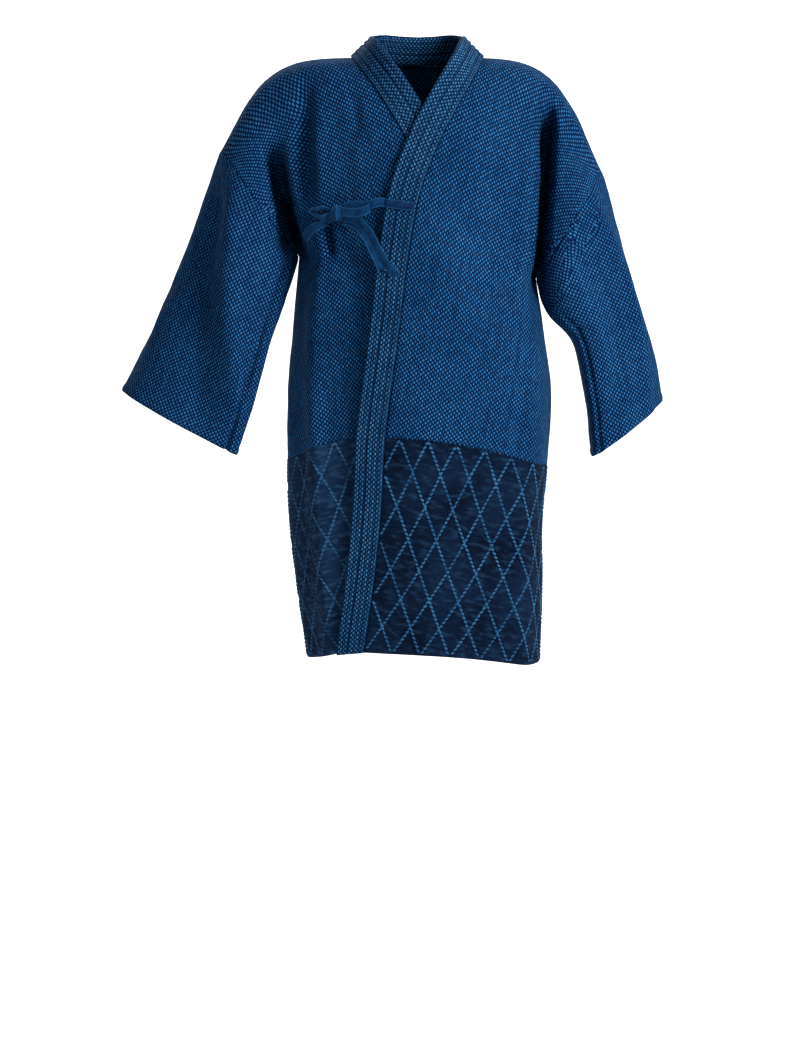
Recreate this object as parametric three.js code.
// A short kimono-cut jacket of thick indigo cotton, worn on a hollow figure, left front over right.
// Millimetres, +Z up, the front faces -Y, the wearer's right is -X. The origin is the middle of the neck's base.
import * as THREE from "three";

// ---------------------------------------------------------------- driving sizes

const CLOTH = 2.4; // wall of the panels and sleeves
const SEAM = 0.3; // gap left at each seam
const HALF_SEAM = SEAM / 2;
const BAND = { width: 42, proud: 1.4, under: 1.6, ribs: 5, rib: 0.8 }; // the collar band's cross-section
const OVERLAP_LIFT = 8.5; // how far the left front rides over the right one
const VENT = { height: 110, spread: 5 }; // the slit at each side of the hem
const DIAMOND = { width: 44, height: 81, puff: 1.3 }; // the quilted lozenges below the waist
const RIBBON = { width: 12, thick: 1.6 }; // the tie

// Heights above are measured along the cloth from the hem; these are where its seams and landmarks lie.
const WAIST = 290;
const UNDERARM = 545;
const SHOULDER = 910;

// ---------------------------------------------------------------- small maths

const vec = (x, y, z) => new THREE.Vector3(x, y, z);
const mix = (a, b, t) => a + (b - a) * t;
const clamp01 = (t) => Math.min(1, Math.max(0, t));
const smooth = (a, b, t) => {
  const s = clamp01((t - a) / (b - a));
  return s * s * (3 - 2 * s);
};
const bell = (d) => Math.exp(-d * d);
const radians = THREE.MathUtils.degToRad;

// A smooth curve through numbers at rising knots.
function through(knots, values, at) {
  const last = knots.length - 1;
  let k = 0;
  while (k < last - 1 && at > knots[k + 1]) k++;
  const slope = (i) => {
    const a = Math.max(0, i - 1);
    const b = Math.min(last, i + 1);
    return (values[b] - values[a]) / (knots[b] - knots[a]);
  };
  const span = knots[k + 1] - knots[k];
  const t = (at - knots[k]) / span;
  const t2 = t * t;
  const t3 = t2 * t;
  return (
    (2 * t3 - 3 * t2 + 1) * values[k] +
    (t3 - 2 * t2 + t) * span * slope(k) +
    (3 * t2 - 2 * t3) * values[k + 1] +
    (t3 - t2) * span * slope(k + 1)
  );
}

// One column of a table whose rows are ordered by the column `by`.
function column(table, by, name, at) {
  const knots = table.map((row) => row[by]);
  const values = table.map((row) => row[name]);
  return through(knots, values, at);
}

const SIDES = { right: -1, left: 1 };
const FACES = { front: -1, back: 1 };

// ---------------------------------------------------------------- the body's sections

// From hem to underarm: half widths to each side, and depths to front and back of the side seams.
const LOWER = [
  { along: 0, zMid: -812, zBack: -842, right: 160, left: 174, zRight: -836, zLeft: -842, front: 124, back: 106 },
  { along: 115, zMid: -702, zBack: -728, right: 176, left: 177, zRight: -722, zLeft: -728, front: 130, back: 114 },
  { along: 205, zMid: -606, zBack: -636, right: 185, left: 176, zRight: -634, zLeft: -644, front: 134, back: 118 },
  { along: 290, zMid: -512, zBack: -548, right: 187, left: 183, zRight: -550, zLeft: -560, front: 136, back: 116 },
  { along: 385, zMid: -426, zBack: -452, right: 184, left: 188, zRight: -452, zLeft: -460, front: 136, back: 112 },
  { along: 465, zMid: -355, zBack: -370, right: 178, left: 177, zRight: -362, zLeft: -374, front: 137, back: 112 },
  { along: 545, zMid: -285, zBack: -290, right: 169, left: 165, zRight: -267, zLeft: -297, front: 137, back: 116 },
];

// From underarm to shoulder: the middle's height and depth, the brow where the chest turns, and the armpit's groove.
const UPPER = {
  front: [
    { along: 545, zMid: -285, depth: 137, brow: 124, browDepth: 95, grooveRight: 157, grooveLeft: 153, grooveDepth: 38 },
    { along: 625, zMid: -208, depth: 137, brow: 138, browDepth: 92, grooveRight: 173, grooveLeft: 165, grooveDepth: 42 },
    { along: 710, zMid: -125, depth: 126, brow: 138, browDepth: 92, grooveRight: 190, grooveLeft: 174, grooveDepth: 48 },
    { along: 800, zMid: -45, depth: 98, brow: 130, browDepth: 74, grooveRight: 197, grooveLeft: 186, grooveDepth: 52 },
    { along: 860, zMid: -4, depth: 52, brow: 126, browDepth: 40, grooveRight: 198, grooveLeft: 190, grooveDepth: 28 },
    { along: 910, zMid: 10, depth: -8, brow: 126, browDepth: -8, grooveRight: 200, grooveLeft: 190, grooveDepth: -7 },
  ],
  back: [
    { along: 545, zMid: -290, depth: 116, brow: 124, browDepth: 82, grooveRight: 157, grooveLeft: 153, grooveDepth: 34 },
    { along: 625, zMid: -208, depth: 123, brow: 140, browDepth: 90, grooveRight: 172, grooveLeft: 166, grooveDepth: 50 },
    { along: 710, zMid: -118, depth: 124, brow: 144, browDepth: 94, grooveRight: 194, grooveLeft: 182, grooveDepth: 60 },
    { along: 800, zMid: -32, depth: 110, brow: 138, browDepth: 84, grooveRight: 202, grooveLeft: 194, grooveDepth: 60 },
    { along: 860, zMid: 8, depth: 74, brow: 130, browDepth: 56, grooveRight: 202, grooveLeft: 196, grooveDepth: 40 },
    { along: 910, zMid: 10, depth: 8, brow: 126, browDepth: 8, grooveRight: 200, grooveLeft: 190, grooveDepth: 7 },
  ],
};
const BROW = { across: 0.76, deep: 0.69 }; // where a lower section turns, as shares of its width and depth
const FLANK = { across: 0.955, deep: 0.28 }; // the same just short of the side seam

// Each armhole is a loop from the top of the arm down to the underarm and back, seen along Y as a line.
const ARMHOLE = {
  right: { topX: -278, topZ: -118, lowX: -169, lowZ: -267, depth: 61, drop: 5 },
  left: { topX: 255, topZ: -144, lowX: 165, lowZ: -297, depth: 61, drop: 4.5 },
};

// A point of the armhole loop: turn 0 at the top of the arm, 180 at the underarm.
function armholePoint(side, face, turn) {
  const a = ARMHOLE[side];
  const down = (1 - Math.cos(turn)) / 2;
  const y = FACES[face] * a.depth * Math.sin(turn);
  return vec(mix(a.topX, a.lowX, down), y, mix(a.topZ, a.lowZ, down));
}

// Below the chest the front's levels hang lower on either side of the band.
const HANG = { peak: -62, power: 1.8, fades: 400, round: 0.25 };

// One level of the front or back: a smooth curve in plan from side to side, and how its height falls to the sides.
function section(face, along) {
  const out = FACES[face];
  const zMidName = face === "front" ? "zMid" : "zBack";
  const halves = {};
  for (const side of ["right", "left"]) {
    const s = SIDES[side];
    let middle, brow, groove, end, beyond, zMid, fall;
    if (along <= UNDERARM) {
      const width = column(LOWER, "along", side, along);
      const depth = column(LOWER, "along", face, along);
      zMid = column(LOWER, "along", zMidName, along);
      middle = [0, out * depth];
      brow = [s * width * BROW.across, out * depth * BROW.deep];
      groove = [s * width * FLANK.across, out * depth * FLANK.deep];
      end = [s * width, 0];
      beyond = [groove[0], -out * depth * FLANK.deep];
      const hang = face === "front" ? 1 - smooth(HANG.fades, UNDERARM, along) : 0;
      fall = {
        z: column(LOWER, "along", side === "right" ? "zRight" : "zLeft", along),
        power: mix(2, HANG.power, hang),
        peak: HANG.peak * hang,
      };
    } else {
      const table = UPPER[face];
      const share = (along - UNDERARM) / (SHOULDER - UNDERARM);
      const at = (name) => column(table, "along", name, along);
      const rim = armholePoint(side, face, Math.PI * (1 - share));
      zMid = at("zMid");
      middle = [0, out * at("depth")];
      brow = [s * at("brow"), out * at("browDepth")];
      groove = [s * at(side === "right" ? "grooveRight" : "grooveLeft"), out * at("grooveDepth")];
      end = [rim.x, rim.y];
      const outward = 22 * smooth(0, 0.3, share);
      const inward = 30 * (1 - smooth(0, 0.3, share));
      beyond = [rim.x + s * outward, rim.y - out * inward];
      fall = { z: rim.z, power: mix(2, ARMHOLE[side].drop, share), peak: 0 };
    }
    halves[side] = { points: [middle, brow, groove, end, beyond], zMid, fall };
  }
  return halves;
}

// Distances along one half of a section, from its middle to its end at 1.
const KNOTS = [0, 0.56, 0.82, 1, 1.18];

// A point of a section: across is 0 at the middle, -1 at the right end and 1 at the left end.
function onSection(halves, across) {
  const side = across < 0 ? "right" : "left";
  const other = across < 0 ? "left" : "right";
  const { points, zMid, fall } = halves[side];
  const knots = [-KNOTS[1], ...KNOTS];
  const all = [halves[other].points[1], ...points];
  const t = Math.abs(across);
  const x = through(knots, all.map((p) => p[0]), t);
  const y = through(knots, all.map((p) => p[1]), t);
  const far = x < fall.peak ? halves.right : halves.left;
  const share = Math.min(1, Math.abs((x - fall.peak) / (far.points[3][0] - fall.peak)));
  const eased = Math.hypot(share, HANG.round) - HANG.round * (1 - share);
  return vec(x, y, mix(zMid, far.fall.z, Math.min(1, eased) ** far.fall.power));
}

// ---------------------------------------------------------------- folds

// Soft troughs (depth > 0) and ridges (depth < 0) on the body, from one end to the other as seen from the front.
const FOLDS = {
  front: [
    { fromX: -158, fromZ: -30, toX: -150, toZ: -185, bow: 6, depth: 13, half: 13 },
    { fromX: -118, fromZ: -60, toX: -114, toZ: -190, bow: -4, depth: 4, half: 12 },
    { fromX: -88, fromZ: -70, toX: -96, toZ: -185, bow: 5, depth: 3, half: 10 },
    { fromX: -131, fromZ: -216, toX: -120, toZ: -262, bow: 0, depth: 9, half: 7 },
    { fromX: -112, fromZ: -222, toX: -152, toZ: -400, bow: 8, depth: -5, half: 14 },
    { fromX: -84, fromZ: -225, toX: -112, toZ: -470, bow: -8, depth: 6, half: 15 },
    { fromX: -150, fromZ: -260, toX: -166, toZ: -420, bow: 4, depth: 6, half: 12 },
    { fromX: -148, fromZ: -400, toX: -118, toZ: -835, bow: 6, depth: -7, half: 13 },
    { fromX: -168, fromZ: -430, toX: -146, toZ: -800, bow: 3, depth: 6, half: 13 },
    { fromX: 150, fromZ: -60, toX: 128, toZ: -330, bow: -10, depth: -5, half: 16 },
    { fromX: 118, fromZ: -40, toX: 96, toZ: -260, bow: 6, depth: 3, half: 14 },
    { fromX: 40, fromZ: -160, toX: 138, toZ: -330, bow: 12, depth: 4, half: 18 },
    { fromX: 20, fromZ: -260, toX: 150, toZ: -420, bow: 14, depth: -3, half: 20 },
    { fromX: 150, fromZ: -360, toX: 134, toZ: -560, bow: 6, depth: 5, half: 15 },
    { fromX: 128, fromZ: -520, toX: 140, toZ: -835, bow: -5, depth: -5, half: 16 },
  ],
  back: [
    { fromX: -60, fromZ: -60, toX: -40, toZ: -420, bow: 8, depth: 5, half: 18 },
    { fromX: 64, fromZ: -60, toX: 46, toZ: -440, bow: -8, depth: 5, half: 18 },
    { fromX: -150, fromZ: -110, toX: -96, toZ: -380, bow: -14, depth: 7, half: 16 },
    { fromX: 142, fromZ: -120, toX: 92, toZ: -390, bow: 14, depth: 7, half: 16 },
    { fromX: -110, fromZ: -420, toX: -118, toZ: -840, bow: 5, depth: 6, half: 18 },
    { fromX: -52, fromZ: -470, toX: -56, toZ: -840, bow: -4, depth: -5, half: 18 },
    { fromX: 44, fromZ: -480, toX: 52, toZ: -840, bow: 4, depth: -5, half: 18 },
    { fromX: 104, fromZ: -430, toX: 112, toZ: -840, bow: -5, depth: 6, half: 18 },
  ],
};

// How deep one fold is at a place seen from the front: widest at its middle, fading out past its ends.
function foldDepth(fold, x, z) {
  const dx = fold.toX - fold.fromX;
  const dz = fold.toZ - fold.fromZ;
  const length = Math.hypot(dx, dz);
  const t = ((x - fold.fromX) * dx + (z - fold.fromZ) * dz) / (length * length);
  const bow = fold.bow * 4 * t * (1 - t);
  const aside = ((x - fold.fromX) * dz - (z - fold.fromZ) * dx) / length - bow;
  const along = smooth(-0.12, 0.22, t) * (1 - smooth(0.78, 1.12, t));
  return fold.depth * bell(aside / fold.half) * along;
}

// The cloth's outer face on the body, with its folds and with the left front's lift over the right one.
function bodyPoint(face, along, across, lift = 0) {
  const p = onSection(section(face, along), across);
  let inward = 0;
  for (const fold of FOLDS[face]) inward += foldDepth(fold, p.x, p.z);
  inward *= 1 - Math.abs(across) ** 6;
  const direction = vec(p.x * 0.35, p.y, 0).normalize();
  return p.addScaledVector(direction, lift - inward);
}

// The left front's lift: full over the right front, none at the side seam, the armhole and the shoulder.
function liftAt(along, across) {
  return OVERLAP_LIFT * (1 - smooth(0.62, 0.95, across)) * (1 - smooth(800, 872, along));
}

function bodyNormal(face, along, across, lift) {
  const step = 0.004;
  const rise = 2;
  const clampAcross = (a) => Math.max(-1, Math.min(1, a));
  const l = (al, ac) => (lift ? liftAt(al, ac) : 0);
  const at = (al, ac) => bodyPoint(face, al, ac, l(al, ac));
  const a0 = clampAcross(across - step);
  const a1 = clampAcross(across + step);
  const h0 = Math.max(0, along - rise);
  const h1 = Math.min(SHOULDER, along + rise);
  const side = at(along, a1).sub(at(along, a0));
  const up = at(h1, across).sub(at(h0, across));
  const n = face === "front" ? side.cross(up) : up.cross(side);
  return n.normalize();
}

// ---------------------------------------------------------------- edges of the panels

// Where the band is sewn on, from hem to neck: the left front crosses the middle, the right front lies under it.
const BAND_SEAM = {
  left: [
    { along: 0, x: -75 },
    { along: 115, x: -60 },
    { along: 205, x: -51 },
    { along: 290, x: -46 },
    { along: 465, x: -26 },
    { along: 545, x: -18 },
    { along: 640, x: -3 },
    { along: 710, x: 20 },
    { along: 800, x: 60 },
    { along: 860, x: 82 },
    { along: 910, x: 90 },
  ],
  right: [
    { along: 0, x: 92 },
    { along: 115, x: 84 },
    { along: 205, x: 74 },
    { along: 290, x: 64 },
    { along: 465, x: 46 },
    { along: 545, x: 38 },
    { along: 640, x: 18 },
    { along: 710, x: -10 },
    { along: 800, x: -56 },
    { along: 860, x: -84 },
    { along: 910, x: -95 },
  ],
};
const NAPE = { along: 851 }; // the middle of the neckline at the back

// The place across a level where its section has the given x.
function acrossAt(face, along, x) {
  const halves = section(face, along);
  let low = -1;
  let high = 1;
  for (let i = 0; i < 40; i++) {
    const mid = (low + high) / 2;
    if (onSection(halves, mid).x < x) low = mid;
    else high = mid;
  }
  return (low + high) / 2;
}

// The panel's edge towards the middle, as a place across the level.
function innerEdge(side, face, along) {
  const s = SIDES[side];
  if (face === "front") return acrossAt(face, along, column(BAND_SEAM[side], "along", "x", along));
  if (along <= NAPE.along) return 0;
  const below = (SHOULDER - along) / (SHOULDER - NAPE.along);
  const neckX = Math.abs(BAND_SEAM[side][BAND_SEAM[side].length - 1].x);
  return acrossAt(face, along, s * neckX * Math.sqrt(1 - below * below));
}

// ---------------------------------------------------------------- walls

// Triangles between two lines of points that run side by side, each given by its indices.
function zip(index, a, b, flip) {
  let i = 0;
  let j = 0;
  while (i < a.length - 1 || j < b.length - 1) {
    const nextA = (i + 1) / (a.length - 1);
    const nextB = (j + 1) / (b.length - 1);
    const useA = j === b.length - 1 || (i < a.length - 1 && nextA <= nextB + 1e-9);
    const face = useA ? [a[i], a[i + 1], b[j]] : [a[i], b[j + 1], b[j]];
    index.push(...(flip ? face.reverse() : face));
    if (useA) i++;
    else j++;
  }
}

// The faces of a grid of points, each cell cut along its shorter diagonal.
function fill(points, index, grid, flip) {
  for (let r = 0; r < grid.length - 1; r++)
    for (let c = 0; c < grid[0].length - 1; c++) {
      const [a, b, d, e] = [grid[r][c], grid[r][c + 1], grid[r + 1][c], grid[r + 1][c + 1]];
      const straight = points[a].distanceTo(points[e]) <= points[b].distanceTo(points[d]);
      const faces = straight ? [a, b, e, a, e, d] : [a, b, d, b, e, d];
      index.push(...(flip ? faces.reverse() : faces));
    }
}

// A closed wall between an outer grid and an inner one, which may be coarser. A tube's last column is its first.
function wall(outer, inner, tube = false) {
  const points = [];
  const index = [];
  const number = (grid) =>
    grid.map((row) => {
      const ids = row.map((p) => points.push(p) - 1);
      return tube ? [...ids, ids[0]] : ids;
    });
  const o = number(outer);
  const i = number(inner);
  fill(points, index, o, false);
  fill(points, index, i, true);
  zip(index, o[0], i[0], true);
  zip(index, o[o.length - 1], i[i.length - 1], false);
  if (!tube) {
    zip(index, o.map((row) => row[0]), i.map((row) => row[0]), false);
    zip(index, o.map((row) => row[row.length - 1]), i.map((row) => row[row.length - 1]), true);
  }
  return solid(points, index);
}

// A geometry from points and faces, turned so that its faces point out.
function solid(points, index) {
  let volume = 0;
  for (let k = 0; k < index.length; k += 3) {
    const [a, b, c] = [points[index[k]], points[index[k + 1]], points[index[k + 2]]];
    volume += a.dot(vec(0, 0, 0).crossVectors(b, c));
  }
  const geometry = new THREE.BufferGeometry().setFromPoints(points);
  geometry.setIndex(volume < 0 ? index.reverse() : index);
  geometry.computeVertexNormals();
  return geometry;
}

const steps = (from, to, count) => Array.from({ length: count + 1 }, (_, i) => mix(from, to, i / count));

// ---------------------------------------------------------------- sleeves

// The armhole as the first ring of the sleeve.
function armholeRing(side) {
  const { topX, topZ, lowX, lowZ, depth } = ARMHOLE[side];
  const [wide, high] = [Math.abs(topX - lowX), topZ - lowZ];
  const lean = THREE.MathUtils.radToDeg(Math.atan2(high, wide));
  const middle = { t: 0, x: Math.abs(topX + lowX) / 2, y: 0, z: (topZ + lowZ) / 2 };
  return { ...middle, lean, turn: 0, chord: Math.hypot(wide, high) / 2, depth, pinch: 0, roll: 0 };
}

// From armhole to cuff: the middle of each ring, the lean of its chord from the level, how far the chord turns
// to face sideways, half its chord and half its thickness, how pinched its ends are, and its roll to the front.
const SLEEVE = {
  right: [
    armholeRing("right"),
    { t: 0.25, x: 246, y: 0, z: -254, lean: 47, turn: 20, chord: 93, depth: 60, pinch: 0.1, roll: 8 },
    { t: 0.5, x: 276, y: 2, z: -338, lean: 38, turn: 30, chord: 95, depth: 51, pinch: 0.2, roll: 18 },
    { t: 0.75, x: 309, y: 2, z: -424, lean: 32, turn: 25, chord: 98, depth: 45, pinch: 0.3, roll: 26 },
    { t: 1, x: 342, y: 0, z: -500, lean: 27.5, turn: 20, chord: 100, depth: 41, pinch: 0.35, roll: 30 },
  ],
  left: [
    armholeRing("left"),
    { t: 0.25, x: 230, y: 0, z: -283, lean: 53, turn: 30, chord: 88, depth: 60, pinch: 0.1, roll: 8 },
    { t: 0.5, x: 251, y: 0, z: -354, lean: 47, turn: 50, chord: 87, depth: 53, pinch: 0.15, roll: 16 },
    { t: 0.75, x: 276, y: -4, z: -436, lean: 40, turn: 50, chord: 87, depth: 52, pinch: 0.2, roll: 22 },
    { t: 1, x: 292, y: -8, z: -510, lean: 36, turn: 46, chord: 86, depth: 52, pinch: 0.25, roll: 26 },
  ],
};

// Long soft folds that run down each sleeve: where they lie round the tube at each end, in degrees from the top.
const SLEEVE_FOLDS = {
  right: [
    { from: 62, to: 78, start: 0.04, stop: 1.05, depth: -5, half: 17 },
    { from: 100, to: 112, start: 0.15, stop: 0.9, depth: 4, half: 14 },
    { from: -70, to: -84, start: 0.05, stop: 0.95, depth: 5, half: 18 },
    { from: -120, to: -112, start: 0.2, stop: 1.05, depth: -4, half: 16 },
  ],
  left: [
    { from: 48, to: 70, start: 0.04, stop: 1.05, depth: -5, half: 16 },
    { from: 88, to: 104, start: 0.1, stop: 0.95, depth: 4, half: 14 },
    { from: -64, to: -80, start: 0.05, stop: 0.95, depth: 5, half: 18 },
    { from: -118, to: -110, start: 0.2, stop: 1.05, depth: -4, half: 16 },
  ],
};
const SLEEVE_ROWS = 12;

// A point of a sleeve: t runs from armhole to cuff, turn is 0 along the top, positive round the front.
function sleevePoint(side, t, turn) {
  const s = SIDES[side];
  const at = (name) => column(SLEEVE[side], "t", name, t);
  const lean = radians(at("lean"));
  const face = radians(at("turn"));
  const rung = vec(s * Math.cos(lean), 0, Math.sin(lean));
  const behind = vec(0, 1, 0);
  const chord = rung.clone().multiplyScalar(Math.cos(face)).addScaledVector(behind, Math.sin(face));
  const thick = rung.multiplyScalar(Math.sin(face)).addScaledVector(behind, -Math.cos(face));
  const angle = turn + radians(at("roll"));
  const sine = Math.sin(angle);
  let swell = 1;
  for (const fold of SLEEVE_FOLDS[side]) {
    const share = (t - fold.start) / (fold.stop - fold.start);
    const aside = THREE.MathUtils.radToDeg(turn) - mix(fold.from, fold.to, share);
    const fade = smooth(0, 0.3, share) * (1 - smooth(0.85, 1.2, share));
    swell -= (fold.depth * bell(aside / fold.half) * fade) / at("chord");
  }
  return vec(s * at("x"), at("y"), at("z"))
    .addScaledVector(chord, at("chord") * Math.cos(angle) * swell)
    .addScaledVector(thick, at("depth") * sine * Math.abs(sine) ** at("pinch") * swell);
}

// The sleeve's outward direction at a point.
function sleeveNormal(side, t, turn) {
  const step = 0.01;
  const t0 = Math.max(0, t - step);
  const t1 = Math.min(1, t + step);
  const down = sleevePoint(side, t1, turn).sub(sleevePoint(side, t0, turn));
  const round = sleevePoint(side, t, turn + step).sub(sleevePoint(side, t, turn - step));
  const n = round.cross(down).normalize();
  return side === "left" ? n : n.negate();
}

// The levels of each face's rows, from the underarm to the shoulder, closer together round the nape.
const RISE = (SHOULDER - UNDERARM) / 13;
const ABOVE = {
  front: steps(UNDERARM, SHOULDER, 13),
  back: [...steps(UNDERARM, UNDERARM + 10 * RISE, 10), NAPE.along, NAPE.along + 4, NAPE.along + 13, NAPE.along + 29, SHOULDER],
};
const turnAt = (along) => Math.PI * (1 - (along - UNDERARM) / (SHOULDER - UNDERARM));

// The direction through the wall at the armhole seam, shared by the panel and the sleeve.
function armholeNormal(side, face, turn) {
  const along = UNDERARM + (1 - turn / Math.PI) * (SHOULDER - UNDERARM);
  const panel = bodyNormal(face, along, SIDES[side], false);
  const sleeve = sleeveNormal(side, 0, -FACES[face] * turn);
  return panel.add(sleeve).normalize();
}

// The direction across the armhole seam, from the panel to the sleeve.
function towardSleeve(side, face, turn, n) {
  const step = 0.01;
  const along = armholePoint(side, face, turn + step).sub(armholePoint(side, face, turn - step));
  const across = along.cross(n).normalize();
  const signed = -FACES[face] * turn;
  const down = sleevePoint(side, 0.05, signed).sub(sleevePoint(side, 0, signed));
  return across.dot(down) < 0 ? across.negate() : across;
}

// A sleeve: one closed tube whose first ring lies along the armhole.
function sleeve(side) {
  const front = ABOVE.front.map(turnAt);
  const back = ABOVE.back.map((along) => -turnAt(along)).reverse();
  const turns = [...front, ...back.slice(1, -1)];
  const outer = [];
  const inner = [];
  for (const t of steps(0, 1, SLEEVE_ROWS)) {
    const outerRing = [];
    const innerRing = [];
    for (const turn of turns) {
      const p = sleevePoint(side, t, turn);
      let n = sleeveNormal(side, t, turn);
      if (t === 0) {
        const face = turn >= 0 ? "front" : "back";
        n = armholeNormal(side, face, Math.abs(turn));
        p.addScaledVector(towardSleeve(side, face, Math.abs(turn), n), HALF_SEAM);
      }
      outerRing.push(p);
      innerRing.push(p.clone().addScaledVector(n, -CLOTH));
    }
    outer.push(outerRing);
    inner.push(innerRing);
  }
  return wall(outer, inner, true);
}

// ---------------------------------------------------------------- body panels

// One row of a body panel from its inner edge to its outer end, as outer points and inner points.
function panelRow(side, face, along, columns, crowd = 1, raise = () => 0) {
  const lifted = side === "left" && face === "front";
  const from = innerEdge(side, face, along);
  const to = SIDES[side];
  const place = (across) => bodyPoint(face, along, across, lifted ? liftAt(along, across) : 0);
  const outer = [];
  const inner = [];
  for (let c = 0; c <= columns; c++) {
    const across = mix(from, to, (c / columns) ** crowd);
    const p = place(across);
    const atArmhole = c === columns && along >= UNDERARM;
    const n = atArmhole ? armholeNormal(side, face, turnAt(along)) : bodyNormal(face, along, across, lifted);
    if (atArmhole) p.addScaledVector(towardSleeve(side, face, turnAt(along), n), -HALF_SEAM);
    if (c === 0 || (c === columns && along <= UNDERARM)) {
      const within = place(mix(from, to, c === 0 ? 0.02 : 0.98)).sub(place(across));
      within.addScaledVector(n, -within.dot(n)).normalize();
      p.addScaledVector(within, HALF_SEAM);
    }
    const vent = VENT.spread * (1 - smooth(0, VENT.height, along)) * Math.abs(across) ** 12;
    p.y += FACES[face] * vent;
    inner.push(p.clone().addScaledVector(n, -CLOTH));
    outer.push(p.addScaledVector(n, raise(c, along)));
  }
  return { outer, inner };
}

const UPPER_ROWS = 8;
const UPPER_COLUMNS = 16;
const CROWD = { waist: 1, chest: 0.75, from: 300, to: 420 }; // under 1, columns stand closer towards the side
const upperBelow = steps(WAIST + HALF_SEAM, UNDERARM, UPPER_ROWS);

// The upper panel of one side: one length of cloth from the front waist over the shoulder to the back waist.
function upperPanel(side) {
  const outer = [];
  const inner = [];
  const add = (face, levels) => {
    for (const along of levels) {
      const crowd = mix(CROWD.waist, CROWD.chest, smooth(CROWD.from, CROWD.to, along));
      const row = panelRow(side, face, along, UPPER_COLUMNS, crowd);
      outer.push(row.outer);
      inner.push(row.inner);
    }
  };
  add("front", [...upperBelow, ...ABOVE.front.slice(1)]);
  add("back", [...upperBelow, ...ABOVE.back.slice(1, -1)].reverse());
  return wall(outer, inner);
}

// The rows of the quilted skirt: a quarter of a lozenge apart, counted down from the waist.
const QUILT_ROWS = Math.round((4 * WAIST) / DIAMOND.height);
const QUILT_COLUMNS = { front: 2 * UPPER_COLUMNS, back: 24 };
const INNER_ROWS = 7;

// How far a place on the quilting rises between its lines of stitching, by quarters of a lozenge.
function quilt(columnCount, rowCount) {
  const rising = Math.abs(Math.sin(((columnCount + rowCount) * Math.PI) / 4));
  const falling = Math.abs(Math.sin(((columnCount - rowCount) * Math.PI) / 4));
  return DIAMOND.puff * Math.sqrt(rising * falling);
}

function skirtPanel(side, face) {
  const top = WAIST - HALF_SEAM;
  const columns = QUILT_COLUMNS[face];
  const outer = steps(0, top, QUILT_ROWS).map((along, r) => {
    const raise = (c) => (r === 0 || r === QUILT_ROWS || c === 0 || c === columns ? 0 : quilt(c, r));
    return panelRow(side, face, along, columns, 1, raise).outer;
  });
  const inner = steps(0, top, INNER_ROWS).map((along) => panelRow(side, face, along, columns).inner);
  return wall(outer, inner);
}

// ---------------------------------------------------------------- collar band

const NECK_STAND = { starts: 715, stands: 868 }; // where the band leaves the chest, and where it stands up
const BAND_STEP = 8; // how far apart two places are when the band's course is measured

// A place on the band's seam, with the direction across the band and the panel's own direction outward.
function bandStation(side, face, along) {
  const lifted = side === "left" && face === "front";
  const lift = (across) => (lifted ? liftAt(along, across) : 0);
  const across = innerEdge(side, face, along);
  const seam = bodyPoint(face, along, across, lift(across));
  const panel = bodyNormal(face, along, across, lifted);
  const toSide = Math.min(1, Math.abs(seam.x) / Math.abs(column(BAND_SEAM[side], "along", "x", SHOULDER)));
  const inward = -SIDES[side];
  const turned = toSide * toSide;
  const up = vec(inward * 0.7 * toSide, mix(-0.33, -0.15, turned), mix(0.92, 0.68, turned)).normalize();
  if (face === "back") return { seam, panel, stand: 1, aside: up };
  const below = Math.max(0, along - BAND_STEP);
  const above = Math.min(SHOULDER, along + BAND_STEP);
  const seamX = (a) => column(BAND_SEAM[side], "along", "x", a);
  const slant = Math.atan2(seamX(above) - seamX(below), above - below) * smooth(0, 60, along);
  const reach = Math.min(SHOULDER, along - inward * BAND.width * Math.sin(slant));
  const acrossFree = acrossAt("front", reach, seam.x + inward * BAND.width * Math.cos(slant));
  const free = bodyPoint("front", reach, acrossFree, lifted ? OVERLAP_LIFT : 0);
  const stand = smooth(NECK_STAND.starts, NECK_STAND.stands, along);
  const aside = free.sub(seam).normalize().lerp(up, stand).normalize();
  return { seam, panel, stand, aside };
}

// The band: one strip from the left hem up round the neck and down to the right hem, with sewn ribs along it.
function collarBand() {
  const frontLevels = [...steps(0, WAIST - HALF_SEAM, QUILT_ROWS), ...upperBelow.slice(1), ...ABOVE.front.slice(1)];
  const backLevels = ABOVE.back.filter((along) => along >= NAPE.along).slice(0, -1);
  const course = [
    ...frontLevels.map((along) => bandStation("left", "front", along)),
    ...backLevels.toReversed().map((along) => bandStation("left", "back", along)),
    ...backLevels.slice(1).map((along) => bandStation("right", "back", along)),
    ...frontLevels.toReversed().map((along) => bandStation("right", "front", along)),
  ];
  const outer = [];
  const inner = [];
  course.forEach(({ seam, panel, stand, aside }, k) => {
    const before = course[Math.max(0, k - 1)].seam;
    const after = course[Math.min(course.length - 1, k + 1)].seam;
    const onward = after.clone().sub(before).normalize();
    const out = onward.cross(aside).normalize();
    const atSeam = panel.clone().lerp(out, stand).normalize();
    const across = (share) => seam.clone().addScaledVector(aside, mix(HALF_SEAM, BAND.width, share));
    const through = (share) => atSeam.clone().lerp(out, Math.min(1, share * 3)).normalize();
    const count = BAND.ribs * 2;
    outer.push(
      steps(0, 1, count).map((share, c) => {
        const rise = BAND.proud + (c % 2 ? BAND.rib : 0);
        return across(share).addScaledVector(through(share), rise);
      }),
    );
    inner.push(steps(0, 1, 3).map((share) => across(share).addScaledVector(through(share), -CLOTH - BAND.under)));
  });
  return wall(outer, inner);
}

// ---------------------------------------------------------------- tie

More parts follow.
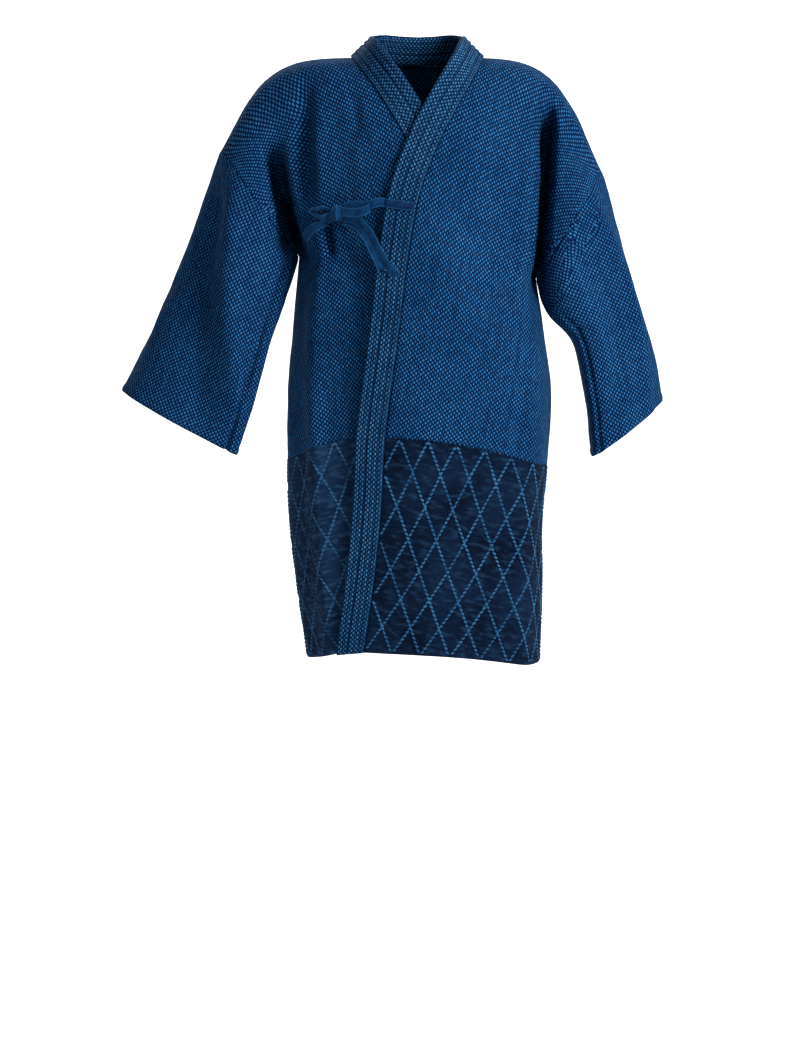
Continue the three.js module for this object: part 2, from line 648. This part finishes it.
// The place on the right front's face with a given x and z, moved out by off.
function onRightFront(x, z, off) {
  let low = 0;
  let high = SHOULDER;
  for (let i = 0; i < 30; i++) {
    const mid = (low + high) / 2;
    if (bodyPoint("front", mid, acrossAt("front", mid, x)).z < z) low = mid;
    else high = mid;
  }
  const across = acrossAt("front", low, x);
  return bodyPoint("front", low, across).addScaledVector(bodyNormal("front", low, across, false), off);
}

// Each tape's course: where it lies seen from the front, how far off the right front, and how its width leans
// from upright (degrees, positive to the wearer's left).
const ON_BAND = OVERLAP_LIFT + BAND.proud + BAND.rib + 0.3 + RIBBON.thick;
const KNOT = { x: -108.5, z: -208, off: 9.6, long: 16, high: 23, thick: 17 };
const KNOT_LEFT = KNOT.x + KNOT.long / 2 + SEAM; // where tapes meet the knot's ends
const KNOT_RIGHT = KNOT.x - KNOT.long / 2 - SEAM;
const TIES = {
  tie_tab: [
    { x: -8, z: -201, off: ON_BAND, lean: 8 },
    { x: -26, z: -198, off: ON_BAND, lean: 8 },
    { x: -44, z: -195, off: ON_BAND, lean: 6 },
  ],
  tie_left_strap: [
    { x: -51, z: -194, off: ON_BAND, lean: 2 },
    { x: -64, z: -197, off: 12, lean: -8 },
    { x: -80, z: -202, off: 8, lean: -8 },
    { x: KNOT_LEFT, z: -206, off: 6.5, lean: -6 },
  ],
  tie_right_strap: [
    { x: -156, z: -240, off: 3.4, lean: -34 },
    { x: -144, z: -229, off: 6, lean: -36 },
    { x: -131, z: -220, off: 7.6, lean: -30 },
    { x: KNOT_RIGHT, z: -213, off: 6.4, lean: -20 },
  ],
  tie_loop_left_side: [
    { x: KNOT_LEFT, z: -202, off: 10.5, lean: 0 },
    { x: -84, z: -198, off: 12.5, lean: -6 },
    { x: -69, z: -198, off: 15, lean: -10 },
    { x: -63, z: -202, off: 18, lean: -10 },
    { x: -69, z: -206, off: 20, lean: -10 },
    { x: -84, z: -207, off: 18, lean: -8 },
    { x: KNOT_LEFT, z: -207, off: 15, lean: 0 },
  ],
  tie_loop_right_side: [
    { x: KNOT_RIGHT, z: -205, off: 13.5, lean: 0 },
    { x: -128, z: -202, off: 15.5, lean: 4 },
    { x: -138, z: -203, off: 14.5, lean: 8 },
    { x: -141.5, z: -207, off: 12, lean: 8 },
    { x: -138, z: -210, off: 11, lean: 4 },
    { x: -128, z: -211, off: 10.6, lean: 0 },
    { x: KNOT_RIGHT, z: -210, off: 10.4, lean: 0 },
  ],
  tie_tail_upper: [
    { x: KNOT_LEFT, z: -215, off: 10.5, lean: 10 },
    { x: -88, z: -216, off: 12.6, lean: 14 },
    { x: -76, z: -220, off: 15.6, lean: 38 },
    { x: -66, z: -230, off: 17, lean: 56 },
    { x: -58, z: -244, off: 17, lean: 64 },
    { x: -50, z: -261, off: 16.8, lean: 66 },
    { x: -40, z: -278, off: 16.6, lean: 58 },
    { x: -28, z: -292, off: 16.6, lean: 50 },
  ],
  tie_tail_under: [
    { x: KNOT_LEFT, z: -218, off: 7.5, lean: 10 },
    { x: -88, z: -220, off: 10, lean: 16 },
    { x: -77, z: -225, off: 13, lean: 40 },
    { x: -68, z: -236, off: 14.4, lean: 60 },
    { x: -61, z: -250, off: 14.4, lean: 68 },
    { x: -54, z: -266, off: 14.2, lean: 70 },
    { x: -47, z: -284, off: 14.2, lean: 68 },
  ],
};
// A flat tape along a course on the front, as a thin wall. Its rows may turn back on themselves in a loop.
function tape(rows) {
  const knots = rows.map((_, k) => k);
  const line = (k) => {
    const value = (name) => through(knots, rows.map((row) => row[name]), k);
    const lean = radians(value("lean"));
    return [-0.5, 0.5].map((w) => {
      const [aside, up] = [Math.sin(lean) * w * RIBBON.width, Math.cos(lean) * w * RIBBON.width];
      return onRightFront(value("x") + aside, value("z") + up, value("off"));
    });
  };
  const outer = [];
  const inner = [];
  for (const k of steps(0, rows.length - 1, (rows.length - 1) * 3)) {
    const place = line(k);
    const ahead = line(Math.min(rows.length - 1, k + 0.05));
    const behind = line(Math.max(0, k - 0.05));
    outer.push(place);
    inner.push(
      place.map((p, i) => {
        const onward = ahead[i].clone().sub(behind[i]);
        const out = onward.cross(place[1].clone().sub(place[0])).normalize();
        return p.clone().addScaledVector(out, rows[1].x > rows[0].x ? -RIBBON.thick : RIBBON.thick);
      }),
    );
  }
  return wall(outer, inner);
}

// The knot: a rounded barrel of wrapped tape, its ends closed.
function knot() {
  const sides = 12;
  const profile = [0.55, 0.86, 1, 1, 0.86, 0.55];
  const points = [];
  const index = [];
  profile.forEach((size, k) => {
    const x = KNOT.x + KNOT.long * (k / (profile.length - 1) - 0.5);
    for (let i = 0; i < sides; i++) {
      const turn = (2 * Math.PI * i) / sides;
      const z = KNOT.z + (size * KNOT.high * Math.cos(turn)) / 2;
      points.push(onRightFront(x, z, KNOT.off + (size * KNOT.thick * Math.sin(turn)) / 2));
    }
  });
  const rings = profile.map((_, k) => Array.from({ length: sides + 1 }, (_, i) => k * sides + (i % sides)));
  fill(points, index, rings, false);
  const last = (profile.length - 1) * sides;
  for (let i = 1; i < sides - 1; i++) index.push(0, i + 1, i, last, last + i, last + i + 1);
  return solid(points, index);
}

// ---------------------------------------------------------------- the jacket

const COLOURS = {
  weave: new THREE.MeshStandardMaterial({ color: 0x1f4a78, roughness: 0.9, metalness: 0 }),
  navy: new THREE.MeshStandardMaterial({ color: 0x0e1a33, roughness: 0.9, metalness: 0 }),
  band: new THREE.MeshStandardMaterial({ color: 0x2a5585, roughness: 0.9, metalness: 0 }),
  tape: new THREE.MeshStandardMaterial({ color: 0x1c4470, roughness: 0.85, metalness: 0 }),
};

const jacket = new THREE.Group();
jacket.name = "kimono_jacket";
function add(name, geometry, material) {
  const mesh = new THREE.Mesh(geometry, material);
  mesh.name = name;
  jacket.add(mesh);
}

for (const side of ["right", "left"]) {
  add(`body_${side}_upper`, upperPanel(side), COLOURS.weave);
  add(`sleeve_${side}`, sleeve(side), COLOURS.weave);
  for (const face of ["front", "back"]) add(`skirt_${face}_${side}`, skirtPanel(side, face), COLOURS.navy);
}
add("collar_band", collarBand(), COLOURS.band);
for (const [name, rows] of Object.entries(TIES)) add(name, tape(rows), COLOURS.tape);
add("tie_knot", knot(), COLOURS.tape);

export default jacket;
